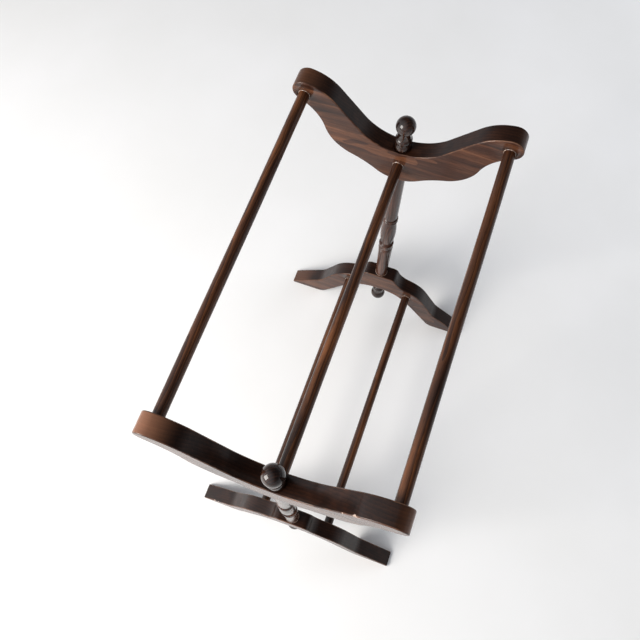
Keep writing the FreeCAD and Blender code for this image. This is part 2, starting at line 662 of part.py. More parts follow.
def make_hanger_bolt(label, end, top):
    """A hanger bolt: wood thread down in the tenon, machine thread up through the seat."""
    body = new_body(label)
    root = "-Sizes.tenon_short"
    screw, machine = half_of("bolt_screw_diameter"), half_of("bolt_diameter")
    tip = S + "bolt_engagement"
    turn_profile(body, [
        ("line", "0", "%s - Sizes.bolt_screw_length" % root),
        ("line", screw, "%s - Sizes.bolt_screw_length + Sizes.bolt_point" % root),
        ("line", screw, root),
        ("line", machine, root),
        ("line", machine, "%s - Sizes.bolt_chamfer" % tip),
        ("line", "%s - Sizes.bolt_chamfer" % machine, tip),
        ("line", "0", tip),
    ])
    stand_on_seat(body, end, top)
    return body


def make_insert(label, end, top):
    """The threaded insert in a finial's bore, round the hanger bolt."""
    body = new_body(label)
    sketch = new_sketch(body, "Ring", "XY_Plane", "Sizes.seat_gap + Sizes.insert_setback")
    add_circle(sketch, "0", "0", INSERT_RADIUS)
    add_circle(sketch, "0", "0", "%s + Sizes.running_gap" % half_of("bolt_diameter"))
    add_pad(body, sketch, S + "insert_length")
    DOC.recompute()
    stand_on_seat(body, end, top)
    return body


# ---------------------------------------------------------------- rails
def make_rail(label, aside, up, socket_depth):
    """A dowel along X from socket to socket, its ends chamfered."""
    body = new_body(label)
    sketch = new_sketch(body, "Section", "YZ_Plane")
    add_circle(sketch, "0", "0", half_of("rail_diameter"))
    length = ("Sizes.post_spacing - Sizes.board_thickness + 2 * (%s - Sizes.socket_end_gap)"
              % socket_depth)
    pad = add_pad(body, sketch, length, symmetric=True)
    DOC.recompute()
    ends = ["Edge%d" % place for place, edge in enumerate(pad.Shape.Edges, start=1)
            if len(edge.Vertexes) == 1]
    chamfer = body.newObject("PartDesign::Chamfer", "Ends")
    chamfer.Base = (pad, ends)
    chamfer.setExpression("Size", "Sizes.rail_chamfer * 1 mm")
    body.Tip = chamfer
    DOC.recompute()
    set_place(body, "0", aside, up)
    return body


# ---------------------------------------------------------------- the rack
def build():
    """Every piece of the rack, as a list of bodies."""
    pieces = []
    for name, end in (("near", -1), ("far", 1)):
        pieces.append(make_arm("arm_" + name, end))
        pieces.append(make_foot("foot_" + name, end))
        pieces.append(make_post("post_" + name, end))
        for level, top in (("top", True), ("bottom", False)):
            knob = "finial_" if top else "drop_finial_"
            pieces.append(make_finial(knob + name, end, top))
            pieces.append(make_hanger_bolt("hanger_bolt_%s_%s" % (level, name), end, top))
            pieces.append(make_insert("threaded_insert_%s_%s" % (level, name), end, top))
    rail_z = "%s + %s" % (ARM_BASE, SIDE_RAIL_UP)
    pieces.append(make_rail("side_rail_left", SIDE_RAIL_Y, rail_z, S + "side_socket_depth"))
    pieces.append(make_rail("side_rail_right", "-" + SIDE_RAIL_Y, rail_z, S + "side_socket_depth"))
    pieces.append(make_rail("centre_rail", "0", "%s + Sizes.centre_rail_up" % ARM_BASE,
                            CENTRE_SOCKET_DEPTH))
    pieces.append(make_rail("stretcher_left", STRETCHER_Y, STRETCHER_Z, S + "side_socket_depth"))
    pieces.append(make_rail("stretcher_right", "-" + STRETCHER_Y, STRETCHER_Z,
                            S + "side_socket_depth"))
    return pieces


def check(pieces):
    """Stop if anything failed to build."""
    for item in DOC.Objects:
        if "Invalid" in item.State or "Error" in item.State:
            raise ValueError("%s failed: %s" % (item.Name, item.State))
    for body in pieces:
        if body.Shape.isNull() or not body.Shape.isValid() or len(body.Shape.Solids) != 1:
            raise ValueError("%s is not one valid solid" % body.Label)


def main():
    """Build the rack and write one STEP file for each piece."""
    pieces = build()
    DOC.recompute()
    check(pieces)
    os.makedirs("parts", exist_ok=True)
    for body in pieces:
        body.Shape.exportStep("parts/%s.step" % body.Label)
        box = body.Shape.BoundBox
        print("%-30s %9.0f mm3  x %7.1f %7.1f  y %7.1f %7.1f  z %6.1f %6.1f"
              % (body.Label, body.Shape.Volume, box.XMin, box.XMax, box.YMin, box.YMax,
                 box.ZMin, box.ZMax))


main()
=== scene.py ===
"""A dark-stained quilt rack on a pale studio floor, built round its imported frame.

+X runs along the rails to the far end, +Y to the left, +Z up; lengths are in metres.
"""
import json
import math
import random

import bmesh
import bpy
from mathutils import Matrix, Vector


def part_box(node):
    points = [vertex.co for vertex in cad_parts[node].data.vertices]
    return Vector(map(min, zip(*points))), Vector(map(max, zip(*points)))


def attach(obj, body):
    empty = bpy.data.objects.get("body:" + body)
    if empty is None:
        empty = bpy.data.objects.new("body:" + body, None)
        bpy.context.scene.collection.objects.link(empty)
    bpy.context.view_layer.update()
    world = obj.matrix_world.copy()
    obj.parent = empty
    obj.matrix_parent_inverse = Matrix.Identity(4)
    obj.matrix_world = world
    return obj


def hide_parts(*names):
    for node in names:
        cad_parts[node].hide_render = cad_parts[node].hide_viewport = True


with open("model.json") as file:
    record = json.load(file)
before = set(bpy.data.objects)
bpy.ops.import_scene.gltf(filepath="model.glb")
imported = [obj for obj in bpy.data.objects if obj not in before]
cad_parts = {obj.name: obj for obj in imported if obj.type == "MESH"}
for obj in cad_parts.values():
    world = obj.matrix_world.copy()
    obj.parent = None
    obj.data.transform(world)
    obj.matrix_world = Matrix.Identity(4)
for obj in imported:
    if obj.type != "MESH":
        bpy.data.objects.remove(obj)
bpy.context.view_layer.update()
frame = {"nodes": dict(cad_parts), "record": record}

MM = 0.001
BOARDS = ("arm_near", "arm_far", "foot_near", "foot_far")
POSTS = ("post_near", "post_far")
FINIALS = ("finial_near", "finial_far", "drop_finial_near", "drop_finial_far")
RAILS = ("side_rail_left", "side_rail_right", "centre_rail", "stretcher_left", "stretcher_right")


# ---------------------------------------------------------------- colour and nodes
def colour(hex_value):
    """An sRGB hex colour as linear RGBA."""
    channels = [int(hex_value[place:place + 2], 16) / 255 for place in (1, 3, 5)]
    linear = [c / 12.92 if c <= 0.04045 else ((c + 0.055) / 1.055) ** 2.4 for c in channels]
    return (*linear, 1.0)


def add_node(tree, kind, settings=None, inputs=None, out=0, stops=()):
    """Add a node with its settings, its links and a ramp's (position, hex) stops.

    An input is given a value, or linked where it is given a socket, and one output is returned.
    """
    node = tree.nodes.new(kind)
    for name, value in (settings or {}).items():
        setattr(node, name, value)
    for name, value in (inputs or {}).items():
        if isinstance(value, bpy.types.NodeSocket):
            tree.links.new(value, node.inputs[name])
        else:
            node.inputs[name].default_value = value
    for _ in stops[2:]:
        node.color_ramp.elements.new(1.0)
    for number, (position, hex_value) in enumerate(stops):
        node.color_ramp.elements[number].position = position
        node.color_ramp.elements[number].color = colour(hex_value)
    return node.outputs[out] if node.outputs else None


def new_material(name):
    """A material with an empty tree."""
    material = bpy.data.materials.new(name)
    material.use_nodes = True
    material.node_tree.nodes.clear()
    return material, material.node_tree


# ---------------------------------------------------------------- wood
GRAIN_TURN = {"x": (0.0, math.pi / 2, 0.0), "y": (-math.pi / 2, 0.0, 0.0), "z": (0.0, 0.0, 0.0)}
WAVE_PERIOD = math.pi / 10      # a wave texture of scale 1 repeats once in this many units
BOARD_TONES = ("#22120c", "#3a2116", "#50301f", "#69422c")
DOWEL_TONES = ("#190d08", "#361e12", "#53311c", "#78492a")
TURNED_TONES = ("#1c100b", "#361e14", "#523020", "#6d432d")
FINIAL_TONES = ("#0d0705", "#1c0f0a", "#311c12", "#4b2c1d")
# each finish's tones, ring spacing in millimetres, roughness of the lacquer and its weight
BOARD_FINISH = (BOARD_TONES, 5.5, 0.17, 0.6)
POST_FINISH = (TURNED_TONES, 4.0, 0.15, 0.8)
FINIAL_FINISH = (FINIAL_TONES, 4.0, 0.06, 1.0)
DOWEL_FINISH = (DOWEL_TONES, 4.0, 0.26, 0.7)
SEED_STEP = 0.73                # metres of new wood along the grain for each step of a seed
RING_WANDER = 22.0 * MM         # how far the rings stray from true circles
# the next two tones darken a board's edges: heavier stain on the sawn edges, and painted shade on the
# tops, which face the dim room
EDGE_STAIN_AND_SHADE = colour("#9a8b84")
EDGE_DARK_STAIN_AND_SHADE = colour("#130a07")
# the paler tip tone: handling wear, and painted light on the near arm's left tip, which the window
# lights
RUBBED_AND_LIT_TIP = colour("#94664d")
# the paler arris tone: rubbed wear, and a painted highlight along the rounded arrises
RUBBED_ARRIS_AND_SHEEN = colour("#7f5b44")
EDGE_STAIN_AND_SHADE_SHARE = 0.85               # how much the edges are darkened: heavier stain, and painted shade on the tops
DEEP_STAIN_AND_SHADE_SHARE = 0.6                # how nearly black the stain and painted shade go there
TIP_WEAR_AND_LIGHT_SHARE = 0.62                # how far the tips go towards their paler tone: handling wear and painted light
RIDGE_WEAR_AND_SHEEN_SHARE = 0.6               # how far the arrises go towards a paler tone: rubbed wear and a painted highlight
ARRIS = 2.0 * MM                # rounding of a board's long corners
WORN_AND_LIT_TIP_REACH = 45.0 * MM       # the boards' tips, painted paler as handling wear and as painted light, with less of the edge stain and painted shade
LIT_SIDE_TIP_SHIFT = 18.0 * MM       # how much further the paler tip reaches on the left, the lit side, where it is painted light
# how much each board's tips are paled, as handling wear and as painted light where the window lights
# them
TIP_WEAR_AND_LIGHT = {"arm_near": 1.0, "arm_far": 0.3, "foot_near": 0.0, "foot_far": 0.3}
# each pattern's repeats a metre across and along the grain, its detail and its roughness:
# fibres 2.4 mm, streaks 13 mm, clouds 45 mm, pores 0.7 mm, rubbing 17 mm and ripple 12 mm wide
WOOD_PATTERNS = {
    "fibres": (420.0, 5.0, 5.0, 0.6),
    "streaks": (75.0, 3.2, 4.0, 0.55),
    "clouds": (22.0, 7.0, 2.0, 0.5),
    "pores": (1500.0, 60.0, 2.0, 0.5),
    "rubbing": (60.0, 24.0, 5.0, 0.65),
    "ripple": (85.0, 40.0, 2.0, 0.5),
}


def stained_walnut(node, grain, seed, pith, finish):
    """Walnut-stained hardwood under old gloss lacquer.

    The growth rings run round a pith beside the piece, so they show as long lines along the
    grain and arch on a board's faces. The stain lies in soft streaks a hand long, pores show as
    short dark dashes, and the lacquer has a slow ripple and fine rubbing.
    """
    tones, ring_mm, gloss, lacquer = finish
    material, tree = new_material("stained_walnut_" + node)
    place = add_node(tree, "ShaderNodeTexCoord", out="Object")
    lined_up = add_node(tree, "ShaderNodeMapping", inputs={
        "Vector": place, "Rotation": GRAIN_TURN[grain],
        "Location": (*pith, SEED_STEP * seed)})
    wide = add_node(tree, "ShaderNodeMapping", inputs={"Vector": lined_up, "Scale": (9.0, 9.0, 2.6)})
    wander = add_node(tree, "ShaderNodeTexNoise", inputs={
        "Vector": wide, "Scale": 1.0, "Detail": 3.0, "Roughness": 0.5}, out="Color")
    bent = add_node(tree, "ShaderNodeVectorMath", {"operation": "MULTIPLY_ADD"}, {
        0: wander, 1: (RING_WANDER, RING_WANDER, 0.0), 2: lined_up})
    drawn_out = add_node(tree, "ShaderNodeMapping", inputs={
        "Vector": bent, "Scale": (1.0, 1.0, 0.06)})
    rings = add_node(tree, "ShaderNodeTexWave",
                     {"wave_type": "RINGS", "rings_direction": "Z", "wave_profile": "SAW"},
                     {"Vector": drawn_out, "Scale": WAVE_PERIOD / (ring_mm * MM),
                      "Distortion": 3.4, "Detail": 3.0, "Detail Scale": 0.22,
                      "Detail Roughness": 0.62}, out="Fac")
    seen = {}
    for pattern, (across, along, detail, rough) in WOOD_PATTERNS.items():
        scaled = add_node(tree, "ShaderNodeMapping", inputs={
            "Vector": bent if pattern in ("fibres", "streaks") else lined_up,
            "Scale": (across, across, along)})
        seen[pattern] = add_node(tree, "ShaderNodeTexNoise", inputs={
            "Vector": scaled, "Scale": 1.0, "Detail": detail, "Roughness": rough}, out="Fac")
    figure = rings
    for share, pattern in ((0.58, "fibres"), (0.60, "streaks"), (0.30, "clouds")):
        figure = add_node(tree, "ShaderNodeMix", inputs={
            "Factor": share, "A": figure, "B": seen[pattern]})
    dark, middle, light, glow = tones
    stain = add_node(tree, "ShaderNodeValToRGB", inputs={"Fac": figure},
                     stops=((0.34, dark), (0.46, middle), (0.55, light), (0.66, glow)))
    pore = add_node(tree, "ShaderNodeMapRange", {"interpolation_type": "SMOOTHSTEP"}, {
        "Value": seen["pores"], "From Min": 0.34, "From Max": 0.47})
    base = add_node(tree, "ShaderNodeMix", {"data_type": "RGBA", "blend_type": "MULTIPLY"}, {
        0: 0.5, 6: stain, 7: pore}, out=2)
    # a board's edges, tips and arrises: stain and wear, with painted shade and painted light laid in
    if grain == "y":
        base = board_wear_and_painted_light(tree, node, place, base, seen["rubbing"])
    rubbed = add_node(tree, "ShaderNodeMapRange", {"interpolation_type": "SMOOTHSTEP"}, {
        "Value": seen["rubbing"], "From Min": 0.3, "From Max": 0.7,
        "To Min": 0.38, "To Max": 0.55})
    height = add_node(tree, "ShaderNodeMath", {"operation": "MULTIPLY_ADD"}, {
        0: pore, 1: 0.16, 2: seen["ripple"]})
    bump = add_node(tree, "ShaderNodeBump", inputs={
        "Height": height, "Strength": 0.16, "Distance": 0.25 * MM})
    surface = add_node(tree, "ShaderNodeBsdfPrincipled", inputs={
        "Base Color": base, "Roughness": rubbed, "Normal": bump, "Coat Normal": bump,
        "IOR": 1.5, "Specular IOR Level": 0.05, "Coat Weight": lacquer,
        "Coat Roughness": gloss, "Coat IOR": 1.46})
    add_node(tree, "ShaderNodeOutputMaterial", inputs={"Surface": surface})
    return material


def board_wear_and_painted_light(tree, node, place, base, rubbing):
    """The colour of a board's edges, laid over its stain.

    The sawn edges are darkened nearly black, partly as heavier stain and partly as painted shade on
    the tops, which face the dim room. The rounded arrises are paler, partly rubbed wear and partly a
    painted highlight, and so are the tips, partly handling wear and partly painted light, most of all
    the near arm's left tip.
    """
    low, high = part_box(node)
    tip_wear_and_light = TIP_WEAR_AND_LIGHT[node]
    across = add_node(tree, "ShaderNodeSeparateXYZ", inputs={"Vector": place}, out="X")
    along = add_node(tree, "ShaderNodeSeparateXYZ", inputs={"Vector": place}, out="Y")
    offset = add_node(tree, "ShaderNodeMath", {"operation": "SUBTRACT"}, {
        0: across, 1: (low.x + high.x) / 2})
    offset = add_node(tree, "ShaderNodeMath", {"operation": "ABSOLUTE"}, {0: offset})
    inside = add_node(tree, "ShaderNodeMath", {"operation": "SUBTRACT"}, {
        0: (high.x - low.x) / 2, 1: offset})
    inside = add_node(tree, "ShaderNodeMath", {"operation": "DIVIDE"}, {0: inside, 1: ARRIS})
    reach = add_node(tree, "ShaderNodeMath", {"operation": "ADD"}, {0: along, 1: LIT_SIDE_TIP_SHIFT})
    reach = add_node(tree, "ShaderNodeMath", {"operation": "ABSOLUTE"}, {0: reach})
    # what each range is read from, where it starts and ends, and its values there
    ranges = {}
    for label, value, start, end, first, last in (
            ("sawn", inside, 0.1, 1.3, 0.0, 1.0),
            ("worn_and_lit_tip_reach", reach, high.y - WORN_AND_LIT_TIP_REACH, high.y, 0.0, 1.0),
            ("outer ridge", inside, 0.0, 0.35, 0.0, 1.0),
            ("inner ridge", inside, 0.65, 1.0, 1.0, 0.0),
            ("rubbed", rubbing, 0.40, 0.68, 0.0, 1.0)):
        ranges[label] = add_node(tree, "ShaderNodeMapRange", {"interpolation_type": "SMOOTHSTEP"}, {
            "Value": value, "From Min": start, "From Max": end, "To Min": first, "To Max": last})
    # paler tips: handling wear, and painted light where the window lights the near arm's left tip
    worn_and_lit_tip = add_node(tree, "ShaderNodeMath", {"operation": "MULTIPLY"}, {
        0: ranges["worn_and_lit_tip_reach"], 1: TIP_WEAR_AND_LIGHT_SHARE * tip_wear_and_light})
    worn_and_lit_tip = add_node(tree, "ShaderNodeMath", {"operation": "MULTIPLY"}, {
        0: ranges["sawn"], 1: worn_and_lit_tip})
    # edge darkening: heavier stain and painted shade, lifted where the tips are paler
    kept_stain_and_shade = add_node(tree, "ShaderNodeMath", {"operation": "MULTIPLY_ADD"}, {
        0: ranges["worn_and_lit_tip_reach"], 1: -EDGE_STAIN_AND_SHADE_SHARE * tip_wear_and_light, 2: EDGE_STAIN_AND_SHADE_SHARE})
    edge_stain_and_shade = add_node(tree, "ShaderNodeMath", {"operation": "MULTIPLY"}, {
        0: ranges["sawn"], 1: kept_stain_and_shade})
    deep_stain_and_shade = add_node(tree, "ShaderNodeMath", {"operation": "MULTIPLY"}, {0: edge_stain_and_shade, 1: DEEP_STAIN_AND_SHADE_SHARE})
    # paler arrises: rubbed wear and a painted highlight
    ridge_wear_and_sheen = add_node(tree, "ShaderNodeMath", {"operation": "MULTIPLY"}, {
        0: ranges["outer ridge"], 1: ranges["inner ridge"]})
    ridge_wear_and_sheen = add_node(tree, "ShaderNodeMath", {"operation": "MULTIPLY"}, {
        0: ridge_wear_and_sheen, 1: ranges["rubbed"]})
    ridge_wear_and_sheen = add_node(tree, "ShaderNodeMath", {"operation": "MULTIPLY"}, {
        0: ridge_wear_and_sheen, 1: RIDGE_WEAR_AND_SHEEN_SHARE})
    # lays the edge stain and painted shade, then the paler tips and arrises with their painted light,
    # over the stain
    for how, share, tint in (("MULTIPLY", edge_stain_and_shade, EDGE_STAIN_AND_SHADE), ("MIX", deep_stain_and_shade, EDGE_DARK_STAIN_AND_SHADE),
                             ("MIX", worn_and_lit_tip, RUBBED_AND_LIT_TIP), ("MIX", ridge_wear_and_sheen, RUBBED_ARRIS_AND_SHEEN)):
        base = add_node(tree, "ShaderNodeMix", {"data_type": "RGBA", "blend_type": how}, {
            0: share, 6: base, 7: tint}, out=2)
    return base


def make_bare_wood():
    """Broken walnut inside a chip: pale, dull and fibrous."""
    material, tree = new_material("bare_walnut")
    place = add_node(tree, "ShaderNodeTexCoord", out="Object")
    scaled = add_node(tree, "ShaderNodeMapping", inputs={
        "Vector": place, "Scale": (1800.0, 260.0, 1800.0)})
    fibres = add_node(tree, "ShaderNodeTexNoise", inputs={
        "Vector": scaled, "Scale": 1.0, "Detail": 4.0, "Roughness": 0.6})
    tint = add_node(tree, "ShaderNodeValToRGB", inputs={"Fac": fibres},
                    stops=((0.3, "#a58a79"), (0.7, "#dccabd")))
    bump = add_node(tree, "ShaderNodeBump", inputs={
        "Height": fibres, "Strength": 0.6, "Distance": 0.3 * MM})
    surface = add_node(tree, "ShaderNodeBsdfPrincipled", inputs={
        "Base Color": tint, "Normal": bump, "Roughness": 0.75})
    add_node(tree, "ShaderNodeOutputMaterial", inputs={"Surface": surface})
    return material


def dried_lacquer():
    """Glue and lacquer dried in a joint's corner: cloudy amber and glossy."""
    material, tree = new_material("dried_lacquer")
    place = add_node(tree, "ShaderNodeTexCoord", out="Object")
    cloudy = add_node(tree, "ShaderNodeTexNoise", inputs={
        "Vector": place, "Scale": 300.0, "Detail": 3.0})
    tint = add_node(tree, "ShaderNodeValToRGB", inputs={"Fac": cloudy},
                    stops=((0.35, "#4a2f20"), (0.65, "#a8907f")))
    rough = add_node(tree, "ShaderNodeMapRange", {"interpolation_type": "SMOOTHSTEP"}, {
        "Value": cloudy, "From Min": 0.3, "From Max": 0.7, "To Min": 0.08, "To Max": 0.2})
    surface = add_node(tree, "ShaderNodeBsdfPrincipled", inputs={
        "Base Color": tint, "Roughness": rough, "IOR": 1.5,
        "Coat Weight": 1.0, "Coat Roughness": 0.06})
    add_node(tree, "ShaderNodeOutputMaterial", inputs={"Surface": surface})
    return material


def turned_metal(name, dull, bright, roughness):
    """Zinc-plated steel or machined brass: bright, with fine turning marks 0.4 mm apart."""
    material, tree = new_material(name)
    place = add_node(tree, "ShaderNodeTexCoord", out="Object")
    scaled = add_node(tree, "ShaderNodeMapping", inputs={
        "Vector": place, "Scale": (60.0, 60.0, 2600.0)})
    marks = add_node(tree, "ShaderNodeTexNoise", inputs={"Vector": scaled, "Scale": 1.0})
    tint = add_node(tree, "ShaderNodeValToRGB", inputs={"Fac": marks},
                    stops=((0.3, dull), (0.7, bright)))
    rough = add_node(tree, "ShaderNodeMapRange", {"interpolation_type": "SMOOTHSTEP"}, {
        "Value": marks, "From Min": 0.2, "From Max": 0.8,
        "To Min": roughness * 0.8, "To Max": roughness * 1.3})
    surface = add_node(tree, "ShaderNodeBsdfPrincipled", inputs={
        "Base Color": tint, "Roughness": rough, "Metallic": 1.0})
    add_node(tree, "ShaderNodeOutputMaterial", inputs={"Surface": surface})
    return material


# ---------------------------------------------------------------- pieces
def new_piece(name, mesh, body, material, stands_for=None):
    """An object at the origin that rides a body and may stand for a CAD node."""
    piece = bpy.data.objects.new(name, mesh)
    bpy.context.scene.collection.objects.link(piece)
    if material not in list(mesh.materials):
        mesh.materials.append(material)
    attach(piece, body)
    if stands_for:
        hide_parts(stands_for)
    return piece


def body_of(node):
    """The body that a CAD node belongs to."""
    return [body for body, members in frame["record"]["behaviour"]["bodies"].items()
            if node in members][0]


def finish_mesh(shape, name, corner=40.0):
    """A bmesh as a mesh whose faces point outwards, smooth but for its real corners."""
    bmesh.ops.recalc_face_normals(shape, faces=shape.faces)
    mesh = bpy.data.meshes.new(name)
    shape.to_mesh(mesh)
    shape.free()
    mesh.polygons.foreach_set("use_smooth", [True] * len(mesh.polygons))
    mesh.set_sharp_from_angle(angle=math.radians(corner))
    return mesh


def merged_copy(node):
    """A CAD node's mesh as a bmesh with its triangles joined up."""
    shape = bmesh.new()
    shape.from_mesh(frame["nodes"][node].data)
    bmesh.ops.remove_doubles(shape, verts=shape.verts, dist=1e-6)
    return shape


def turning_axis(node):
    """The vertical axis that a turned node lies on."""
    low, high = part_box(node)
    return Vector((round((low.x + high.x) / 2, 4), 0.0, 0.0))


def half_section(node):
    """A turned node's half section, as (radius, height) points from axis to axis.

    They are read along the seam where the turned surface starts and ends.
    """
    axis = turning_axis(node)
    shape = merged_copy(node)
    for side in (1.0, -1.0):
        seam = {v for v in shape.verts
                if abs(v.co.y) < 1e-6 and (v.co.x - axis.x) * side > -5e-6}
        steps = {v: [e.other_vert(v) for e in v.link_edges if e.other_vert(v) in seam]
                 for v in seam}
        ends = sorted((v for v in seam if len(steps[v]) == 1), key=lambda v: v.co.z)
        if len(ends) == 2 and all(steps.values()):
            break
    walk = [None, ends[0]]
    while walk[-1] is not ends[1]:
        walk.append([v for v in steps[walk[-1]] if v is not walk[-2]][0])
    points = [(abs(v.co.x - axis.x), v.co.z) for v in walk[1:]]
    shape.free()
    return [(0.0, points[0][1])] + points + [(0.0, points[-1][1])]


def eased(points, radius, corner=25.0):
    """A half section with its sharp corners rounded and its long runs divided."""
    out = [points[0]]
    for before, here, after in zip(points, points[1:], points[2:]):
        back = Vector(before) - Vector(here)
        onward = Vector(after) - Vector(here)
        if min(back.length, onward.length) < SAME_POINT:
            continue
        bend = 180.0 - math.degrees(back.angle(onward))
        reach = min(radius, back.length / 2, onward.length / 2)
        if bend < corner or here[0] < ON_AXIS:
            out.append(here)
            continue
        first = Vector(here) + back.normalized() * reach
        last = Vector(here) + onward.normalized() * reach
        for part in (0.0, 0.33, 0.67, 1.0):
            chord = first.lerp(Vector(here), part).lerp(Vector(here).lerp(last, part), part)
            out.append(tuple(chord))
    out.append(points[-1])
    divided = [out[0]]
    for here, after in zip(out, out[1:]):
        parts = max(1, round(math.dist(here, after) / LONGEST_RUN))
        divided += [tuple(Vector(here).lerp(Vector(after), n / parts)) for n in range(1, parts + 1)]
    return divided


def add_ring(shape, axis, height, reaches):
    """A ring of points round a vertical axis, one for each distance from it."""
    turns = [math.tau * n / len(reaches) for n in range(len(reaches))]
    return [shape.verts.new((axis.x + reach * math.cos(turn), axis.y + reach * math.sin(turn),
                             height)) for turn, reach in zip(turns, reaches)]


def join_rings(shape, rings):
    """Faces from each ring to the next; a ring of one point is a pole."""
    for low, high in zip(rings, rings[1:]):
        around = max(len(low), len(high))
        for n in range(around):
            onward = (n + 1) % around
            corners = list(dict.fromkeys([low[n % len(low)], low[onward % len(low)],
                                          high[onward % len(high)], high[n % len(high)]]))
            if len(corners) > 2:
                shape.faces.new(corners)


def turned_mesh(node):
    """A turned node's half section, eased by sandpaper and revolved into a closed mesh."""
    axis = turning_axis(node)
    shape = bmesh.new()
    rings = [add_ring(shape, axis, height, [radius] * TURNED_SEGMENTS if radius >= ON_AXIS else [0.0])
             for radius, height in eased(half_section(node), EASING)]
    join_rings(shape, rings)
    bmesh.ops.remove_doubles(shape, verts=shape.verts, dist=SAME_POINT)
    return finish_mesh(shape, node + "_turned")


def dowel(node):
    """A dowel along X, a hair out of straight between its sockets as wood always is."""
    low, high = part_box(node)
    radius = (high.z - low.z) / 2
    middle_y, middle_z = (low.y + high.y) / 2, (low.z + high.z) / 2
    length = high.x - low.x
    shape = bmesh.new()
    stations = [(0.0, radius - DOWEL_CHAMFER), (DOWEL_CHAMFER, radius)]
    stations += [(length * n / DOWEL_STATIONS, radius) for n in range(1, DOWEL_STATIONS)]
    stations += [(length - DOWEL_CHAMFER, radius), (length, radius - DOWEL_CHAMFER)]
    rings = []
    for along, reach in stations:
        free = max(0.0, math.sin(math.pi * along / length))
        sag_y = DOWEL_WANDER * free * math.sin(along * 11.0 + middle_y * 40.0)
        sag_z = DOWEL_WANDER * free * math.sin(along * 7.0 + middle_y * 90.0 + 1.0)
        ring = []
        for n in range(DOWEL_SEGMENTS):
            turn = math.tau * n / DOWEL_SEGMENTS
            oval = 1.0 + DOWEL_OVAL * math.cos(2 * turn + middle_y * 30.0) * free
            ring.append(shape.verts.new((low.x + along,
                                         middle_y + sag_y + reach * oval * math.cos(turn),
                                         middle_z + sag_z + reach * oval * math.sin(turn))))
        rings.append(ring)
    join_rings(shape, rings)
    shape.faces.new(rings[0])
    shape.faces.new(rings[-1])
    return finish_mesh(shape, node + "_dowel")


def radius_at(points, height):
    """The outer radius of a half section at a height."""
    best = 0.0
    for (first, low), (second, high) in zip(points, points[1:]):
        if min(low, high) - HAIR <= height <= max(low, high) + HAIR:
            part = 0.0 if abs(high - low) < HAIR else (height - low) / (high - low)
            best = max(best, first + (second - first) * part)
    return best


def thread_depth(turn, height, pitch, depth):
    """How far a V thread is cut in at a place round its rod."""
    from_root = abs(2.0 * ((height / pitch - turn / math.tau) % 1.0) - 1.0)
    return depth * (1.0 - from_root * THREAD_FLANK) if from_root < THREAD_CREST else 0.0


def threaded_bolt(node):
    """A hanger bolt: a fine machine thread at its thick end and a coarse wood thread."""
    points = half_section(node)
    axis = turning_axis(node)
    low, high = points[0][1], points[-1][1]
    thick = max(radius for radius, height in points)
    rows = max(2, round((high - low) / THREAD_STEP))
    turns = [math.tau * n / BOLT_SEGMENTS for n in range(BOLT_SEGMENTS)]
    shape = bmesh.new()
    rings = []
    for row in range(rows + 1):
        height = low + (high - low) * row / rows
        outside = radius_at(points, min(max(height, low + 1e-6), high - 1e-6))
        machine = outside > thick - THREAD_BAND
        pitch, depth = (MACHINE_PITCH, MACHINE_DEPTH) if machine else (SCREW_PITCH, SCREW_DEPTH)
        cuts = [min(thread_depth(turn, height, pitch, depth), outside * DEEPEST_CUT)
                for turn in turns]
        rings.append(add_ring(shape, axis, height,
                              [max(outside - cut, THINNEST_CORE) for cut in cuts]))
    join_rings(shape, rings)
    shape.faces.new(rings[0])
    shape.faces.new(rings[-1])
    return finish_mesh(shape, node + "_threaded", THREAD_CORNER)


def threaded_insert(node):
    """A brass insert: a knife thread outside and a machine thread inside."""
    low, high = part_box(node)
    axis = turning_axis(node)
    rows = round((high.z - low.z) / THREAD_STEP)
    turns = [math.tau * n / INSERT_SEGMENTS for n in range(INSERT_SEGMENTS)]
    shape = bmesh.new()
    walls = []
    for reach, pitch, depth, inward in (((high.y - low.y) / 2, INSERT_PITCH, INSERT_DEPTH, -1.0),
                                        (INSERT_BORE, MACHINE_PITCH, MACHINE_DEPTH, 1.0)):
        walls.append([])
        for row in range(rows + 1):
            height = low.z + (high.z - low.z) * row / rows
            walls[-1].append(add_ring(shape, axis, height, [
                reach + inward * thread_depth(turn, height, pitch, depth) for turn in turns]))
    outer, inner = walls
    for rings in (outer, inner, [outer[0], inner[0]], [outer[-1], inner[-1]]):
        join_rings(shape, rings)
    return finish_mesh(shape, node + "_threaded", THREAD_CORNER)


def chip_cutter(spot, size, seed):
    """A ragged lump that bites a chip out of an arris; size holds half of each side."""
    draw = random.Random(seed)
    shape = bmesh.new()
    bmesh.ops.create_icosphere(shape, subdivisions=2, radius=1.0)
    for vert in shape.verts:
        ragged = draw.uniform(*CHIP_RAGGED)
        vert.co = Vector((vert.co.x * size[0], vert.co.y * size[1], vert.co.z * size[2])) * ragged
        vert.co += spot
    mesh = bpy.data.meshes.new("chip_cutter")
    shape.to_mesh(mesh)
    shape.free()
    cutter = bpy.data.objects.new("chip_cutter", mesh)
    bpy.context.scene.collection.objects.link(cutter)
    return cutter


def top_of(node, across, along):
    """The height of a board's upper surface at (X, Y)."""
    hit, spot, _, _ = frame["nodes"][node].ray_cast(Vector((across, along, 2.0)), Vector((0, 0, -1)))
    return spot.z if hit else 0.0


